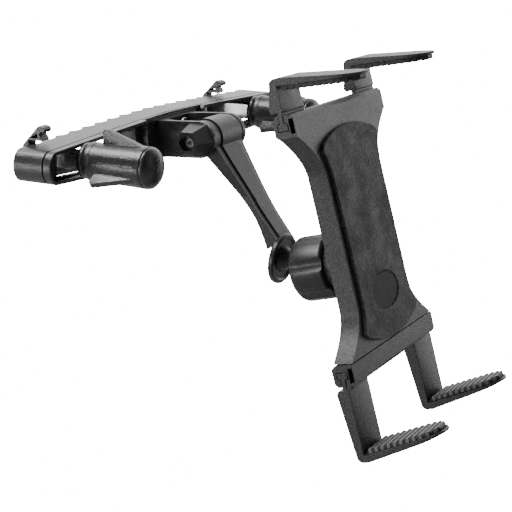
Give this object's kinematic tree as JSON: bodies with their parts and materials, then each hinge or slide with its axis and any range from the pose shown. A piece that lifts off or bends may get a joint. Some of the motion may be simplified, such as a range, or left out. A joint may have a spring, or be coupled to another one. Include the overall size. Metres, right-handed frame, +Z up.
{
  "type": "headrest tablet mount",
  "caption": "Bar that clamps to a car seat's headrest posts, with a swing arm, a ball joint and a spring-loaded tablet holder with sliding legs.",
  "frame": {"origin": "centre of the bar, in the seam between its two shells, midway between the two posts' places", "axes": "+X along the bar, +Y from the passenger towards the headrest posts, +Z up"},
  "size_m": [0.226, 0.212, 0.1932],
  "materials": {
    "shell": "satin black moulding",
    "knob": "smooth black moulding",
    "arm": "satin black moulding",
    "holder": "fine-grained black moulding",
    "badge": "plain satin",
    "rubber": "matt",
    "steel": "zinc plated",
    "brass": "machined"
  },
  "bodies": {
    "bar": {"bar_rear_shell": "shell", "bar_front_shell": "shell", "bar_screws": "steel", "clevis": "arm", "clevis_screws": "steel", "pivot_bolt": "steel", "pivot_nut": "steel"},
    "left_carriage": {"left_thrust_washer": "knob"},
    "left_knob": {"left_knob": "knob", "left_knob_insert": "brass"},
    "left_jaw": {"left_jaw": "shell", "left_guide_block": "steel", "left_clamp_bolt": "steel"},
    "right_carriage": {"right_thrust_washer": "knob"},
    "right_knob": {"right_knob": "knob", "right_knob_insert": "brass"},
    "right_jaw": {"right_jaw": "shell", "right_guide_block": "steel", "right_clamp_bolt": "steel"},
    "arm": {"swing_arm": "arm"},
    "inner_cup": {"inner_friction_cup": "rubber"},
    "outer_cup": {"outer_friction_cup": "rubber"},
    "holder": {"holder_back_housing": "holder", "holder_front_cover": "holder", "holder_screws": "steel", "front_pad": "rubber", "badge_plate": "badge", "left_return_spring": "steel", "right_return_spring": "steel"},
    "ring": {"ring_nut": "arm"},
    "foot": {"sliding_foot": "holder"},
    "top_left_leg": {"top_left_leg": "holder", "top_left_rubber": "rubber"},
    "top_right_leg": {"top_right_leg": "holder", "top_right_rubber": "rubber"},
    "bottom_left_leg": {"bottom_left_leg": "holder", "bottom_left_rubber": "rubber"},
    "bottom_right_leg": {"bottom_right_leg": "holder", "bottom_right_rubber": "rubber"}
  },
  "joints": [
    {"name": "left_clamp_slide", "type": "slide", "parent": "bar", "child": "left_carriage", "axis": [1, 0, 0], "range_m": [-0.007, 0.038]},
    {"name": "left_knob_turn", "type": "hinge", "parent": "left_carriage", "child": "left_knob", "pos_m": [-0.084, -0.03, 0], "axis": [0, 1, 0], "range_deg": [-2880, 0]},
    {"name": "left_jaw_slide", "type": "slide", "parent": "left_carriage", "child": "left_jaw", "axis": [0, 1, 0], "range_m": [0, 0.008]},
    {"name": "right_clamp_slide", "type": "slide", "parent": "bar", "child": "right_carriage", "axis": [1, 0, 0], "range_m": [-0.031, 0.007]},
    {"name": "right_knob_turn", "type": "hinge", "parent": "right_carriage", "child": "right_knob", "pos_m": [0.084, -0.03, 0], "axis": [0, 1, 0], "range_deg": [-2880, 0]},
    {"name": "right_jaw_slide", "type": "slide", "parent": "right_carriage", "child": "right_jaw", "axis": [0, 1, 0], "range_m": [0, 0.008]},
    {"name": "arm_swing", "type": "hinge", "parent": "bar", "child": "arm", "pos_m": [0, -0.0288, 0.0012], "axis": [1, 0, 0], "range_deg": [-75, 45]},
    {"name": "holder_tilt", "type": "hinge", "parent": "arm", "child": "inner_cup", "pos_m": [0, -0.09169, -0.06371], "axis": [1, 0, 0], "range_deg": [-8, 45]},
    {"name": "holder_pan", "type": "hinge", "parent": "inner_cup", "child": "outer_cup", "pos_m": [0, -0.09169, -0.06371], "axis": [0, 0.2689, 0.9632], "range_deg": [-15, 15]},
    {"name": "holder_roll", "type": "hinge", "parent": "outer_cup", "child": "holder", "pos_m": [0, -0.09169, -0.06371], "axis": [0, -0.9632, 0.2689], "continuous": true},
    {"name": "ring_turn", "type": "hinge", "parent": "holder", "child": "ring", "pos_m": [0, -0.09169, -0.06371], "axis": [0, -0.9632, 0.2689], "range_deg": [0, 360]},
    {"name": "foot_slide", "type": "slide", "parent": "holder", "child": "foot", "axis": [0, -0.2689, -0.9632], "range_m": [0, 0.04], "stiffness_N_per_m": 120, "springref_m": -0.02, "deforming": ["left_return_spring", "right_return_spring"]},
    {"name": "top_left_leg_slide", "type": "slide", "parent": "holder", "child": "top_left_leg", "axis": [1, 0, 0], "range_m": [0, 0.024]},
    {"name": "top_right_leg_slide", "type": "slide", "parent": "holder", "child": "top_right_leg", "axis": [1, 0, 0], "range_m": [-0.026, 0]},
    {"name": "bottom_left_leg_slide", "type": "slide", "parent": "foot", "child": "bottom_left_leg", "axis": [1, 0, 0], "range_m": [0, 0.024]},
    {"name": "bottom_right_leg_slide", "type": "slide", "parent": "foot", "child": "bottom_right_leg", "axis": [1, 0, 0], "range_m": [-0.026, 0]}
  ],
  "couplings": [
    {"joint": "left_knob_turn", "follows": "left_jaw_slide", "rad_per_m": -6283.2},
    {"joint": "right_knob_turn", "follows": "right_jaw_slide", "rad_per_m": -6283.2}
  ]
}
